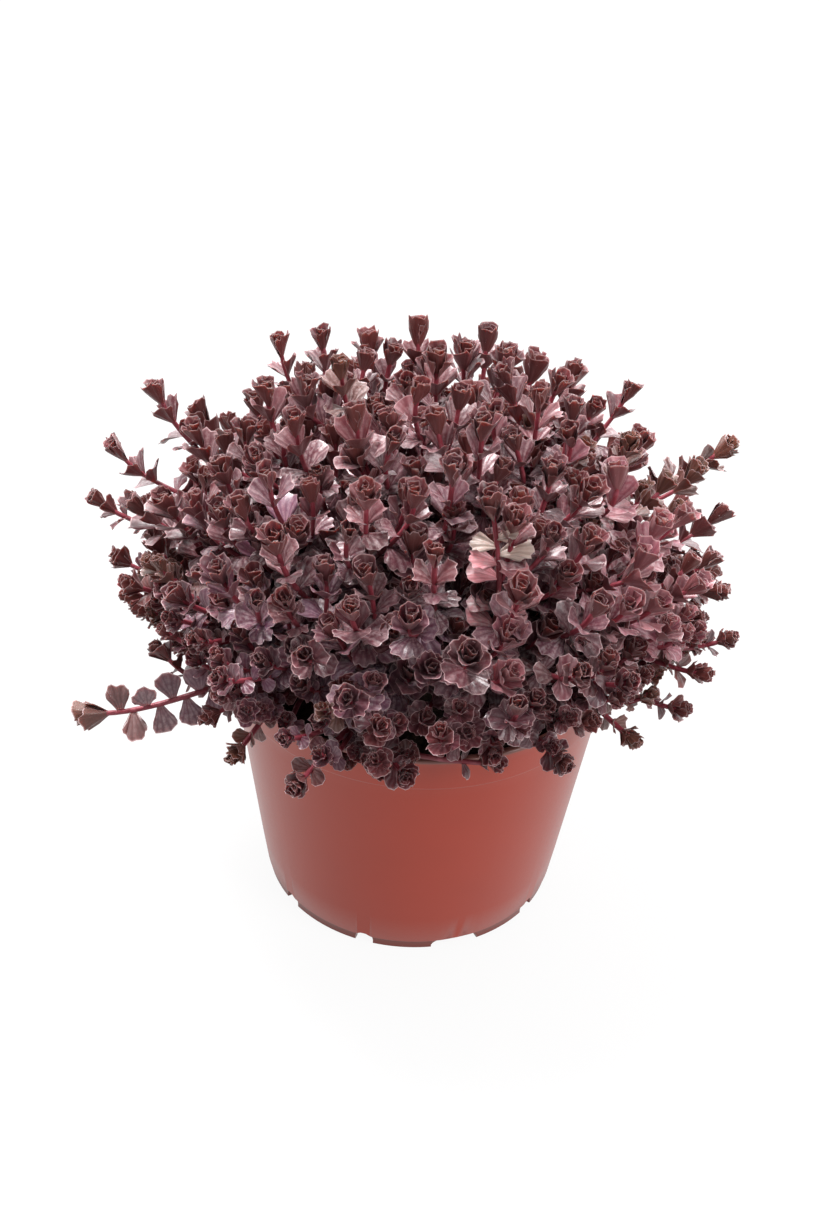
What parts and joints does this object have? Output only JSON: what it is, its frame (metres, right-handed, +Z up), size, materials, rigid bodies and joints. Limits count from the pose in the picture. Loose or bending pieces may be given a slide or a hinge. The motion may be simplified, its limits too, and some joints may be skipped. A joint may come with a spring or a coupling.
{
  "type": "potted sedum",
  "caption": "Mat-forming stonecrop with a dome of forked, leafy, rosette-tipped stems, standing in potting soil in a tapered round plastic nursery pot.",
  "frame": {"origin": "middle of the pot's underside, on the surface that the pot stands on", "axes": "+Z up; -Y towards the viewer of the picture; +X to the picture's right; the long trailing shoot points to -X"},
  "size_m": [0.2229, 0.1996, 0.1953],
  "materials": {
    "pot": "satin terracotta-coloured plastic",
    "soil": "dark, crumbly, matt",
    "plant": "waxy burgundy and mauve leaves on crimson stems"
  },
  "bodies": {
    "root": {"pot": "pot", "potting_soil": "soil", "leafy_stem_01": "plant", "leafy_stem_02": "plant", "leafy_stem_03": "plant", "leafy_stem_04": "plant", "leafy_stem_05": "plant", "leafy_stem_06": "plant", "leafy_stem_07": "plant", "leafy_stem_08": "plant", "leafy_stem_09": "plant", "leafy_stem_10": "plant", "leafy_stem_11": "plant", "leafy_stem_12": "plant", "leafy_stem_13": "plant", "leafy_stem_14": "plant", "leafy_stem_15": "plant", "leafy_stem_16": "plant", "leafy_stem_17": "plant", "leafy_stem_18": "plant", "leafy_stem_19": "plant", "leafy_stem_20": "plant", "leafy_stem_21": "plant", "leafy_stem_22": "plant", "leafy_stem_23": "plant", "leafy_stem_24": "plant", "leafy_stem_25": "plant", "leafy_stem_26": "plant", "leafy_stem_27": "plant", "leafy_stem_28": "plant", "leafy_stem_29": "plant", "leafy_stem_30": "plant", "leafy_stem_31": "plant", "leafy_stem_32": "plant", "leafy_stem_33": "plant", "leafy_stem_34": "plant", "leafy_stem_35": "plant", "leafy_stem_36": "plant", "leafy_stem_37": "plant", "leafy_stem_38": "plant", "leafy_stem_39": "plant", "leafy_stem_40": "plant", "leafy_stem_41": "plant", "leafy_stem_42": "plant", "leafy_stem_43": "plant", "leafy_stem_44": "plant", "leafy_stem_45": "plant", "leafy_stem_46": "plant", "leafy_stem_47": "plant", "leafy_stem_48": "plant"}
  },
  "joints": []
}
